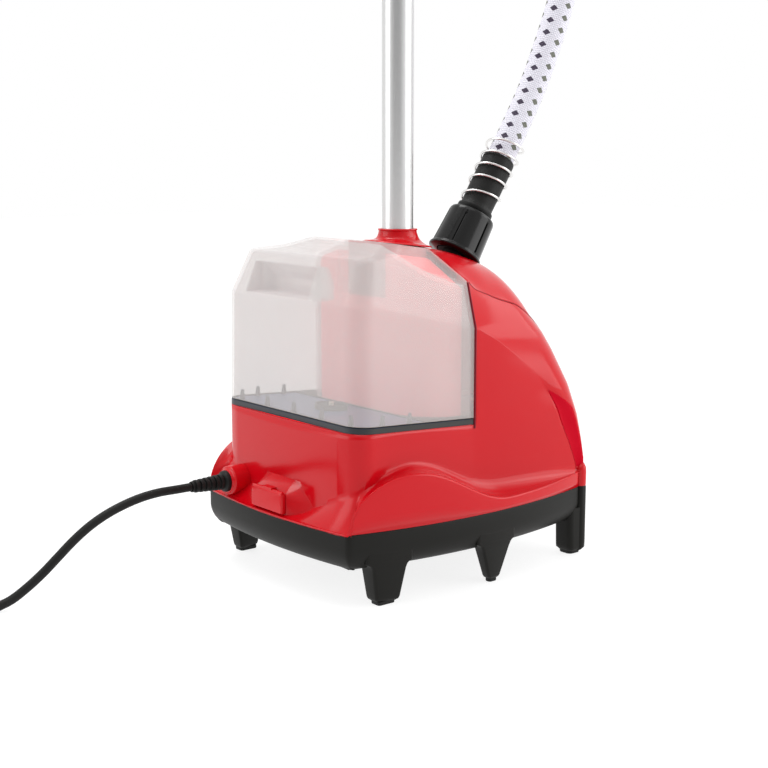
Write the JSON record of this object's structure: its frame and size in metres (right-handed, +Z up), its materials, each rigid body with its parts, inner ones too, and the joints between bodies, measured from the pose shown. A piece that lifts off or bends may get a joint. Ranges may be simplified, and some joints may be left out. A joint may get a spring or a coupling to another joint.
{
  "type": "garment steamer",
  "caption": "Floor garment steamer: boiler base with lift-off water tank, telescopic pole, folding hanger arms, steam hose and hanging steam head.",
  "frame": {"origin": "on the floor under the middle of the base", "axes": "+Z up along the pole, +X from the tank end towards the boiler end, +Y to the side the lead leaves"},
  "size_m": [0.7062, 0.3656, 1.366],
  "materials": {
    "red_gloss": "high gloss ABS",
    "black_matte": "fine moulded grain",
    "black_gloss": "glossy",
    "rubber_black": "matt",
    "tank_clear": "milky translucent",
    "aluminium": "satin drawn tube",
    "steel": "bright",
    "cast_aluminium": "as cast",
    "silicone": "milky silicone tube",
    "seal_red": "silicone",
    "ivory": "moulded",
    "lamp": "tinted lens",
    "hose_fabric": "braided cover with small dark checks"
  },
  "bodies": {
    "root": {"base_tray": "black_matte", "rubber_feet": "rubber_black", "tray_screws": "steel", "body_shell": "red_gloss", "spine_cover": "red_gloss", "pole_socket": "black_matte", "pole_collar": "red_gloss", "valve_well": "black_matte", "valve_pin": "black_matte", "boiler_base": "cast_aluminium", "boiler_lid": "cast_aluminium", "boiler_gasket": "seal_red", "boiler_screws": "steel", "boiler_stand": "steel", "heating_element": "steel", "thermostat": "ivory", "thermal_fuse": "ivory", "feed_tube": "silicone", "steam_tube": "silicone", "steam_spigot": "black_matte", "terminal_block": "ivory", "drain_pipe": "black_matte", "door_pin": "steel", "cord_gland": "rubber_black", "cord_clamp": "black_matte", "power_cord": "rubber_black", "cord_tail": "rubber_black", "cord_coil": "rubber_black", "cord_tie": "rubber_black", "plug_body": "rubber_black", "plug_pins": "steel", "switch_bezel": "black_gloss", "indicator_lens": "lamp", "pole_lower": "aluminium", "pole_clamp": "black_matte", "hose_sleeve": "rubber_black", "hose_spring": "steel", "steam_hose": "hose_fabric"},
    "tank": {"tank_body": "tank_clear", "tank_base_plate": "black_matte", "tank_gasket": "rubber_black", "tank_cap": "black_matte", "valve_spring": "steel"},
    "tank_valve": {"valve_stem": "ivory", "valve_seal": "seal_red"},
    "hose_nut": {"hose_nut": "black_gloss"},
    "pole_upper": {"pole_upper": "aluminium", "pole_top": "black_matte", "head_cradle": "black_matte", "arm_pins": "steel"},
    "clamp_lever": {"clamp_lever": "red_gloss"},
    "arm_left": {"arm_left": "black_matte"},
    "arm_right": {"arm_right": "black_matte"},
    "head": {"head_body": "red_gloss", "head_face": "steel", "head_handle": "black_matte", "head_sleeve": "rubber_black"},
    "rocker": {"switch_rocker": "red_gloss"},
    "drain_door": {"drain_door": "red_gloss"},
    "drain_plug": {"drain_plug": "black_matte"}
  },
  "joints": [
    {"name": "tank_lift", "type": "slide", "parent": "root", "child": "tank", "axis": [0, 0, 1], "range_m": [0, 0.12]},
    {"name": "valve_lift", "type": "slide", "parent": "tank", "child": "tank_valve", "axis": [0.0489, 0, 0.9988], "range_m": [0, 0.004], "stiffness_N_per_m": 150, "deforming": ["valve_spring"]},
    {"name": "nut_turn", "type": "hinge", "parent": "root", "child": "hose_nut", "pos_m": [0.068, 0, 0.27], "axis": [0.5446, 0, 0.8387], "range_deg": [0, 300]},
    {"name": "pole_slide", "type": "slide", "parent": "root", "child": "pole_upper", "axis": [0, 0, 1], "range_m": [-0.45, 0], "deforming": ["steam_hose"]},
    {"name": "lever_open", "type": "hinge", "parent": "root", "child": "clamp_lever", "pos_m": [-0.02, 0, 0.81], "axis": [0, 1, 0], "range_deg": [0, 100]},
    {"name": "arm_left_fold", "type": "hinge", "parent": "pole_upper", "child": "arm_left", "pos_m": [0.003, 0.027, 1.328], "axis": [1, 0, 0], "range_deg": [0, 80]},
    {"name": "arm_right_fold", "type": "hinge", "parent": "pole_upper", "child": "arm_right", "pos_m": [0.003, -0.027, 1.328], "axis": [-1, 0, 0], "range_deg": [0, 80]},
    {"name": "head_lift", "type": "slide", "parent": "pole_upper", "child": "head", "axis": [0, 0, 1], "range_m": [0, 0.03]},
    {"name": "switch_rock", "type": "hinge", "parent": "root", "child": "rocker", "pos_m": [0.136, 0, 0.112], "axis": [0, 1, 0], "range_deg": [0, 12]},
    {"name": "door_open", "type": "hinge", "parent": "root", "child": "drain_door", "pos_m": [-0.1396, 0, 0.0838], "axis": [0, 1, 0], "range_deg": [0, 95]},
    {"name": "plug_turn", "type": "hinge", "parent": "root", "child": "drain_plug", "pos_m": [-0.124, 0, 0.0725], "axis": [1, 0, 0], "range_deg": [0, 90]}
  ]
}
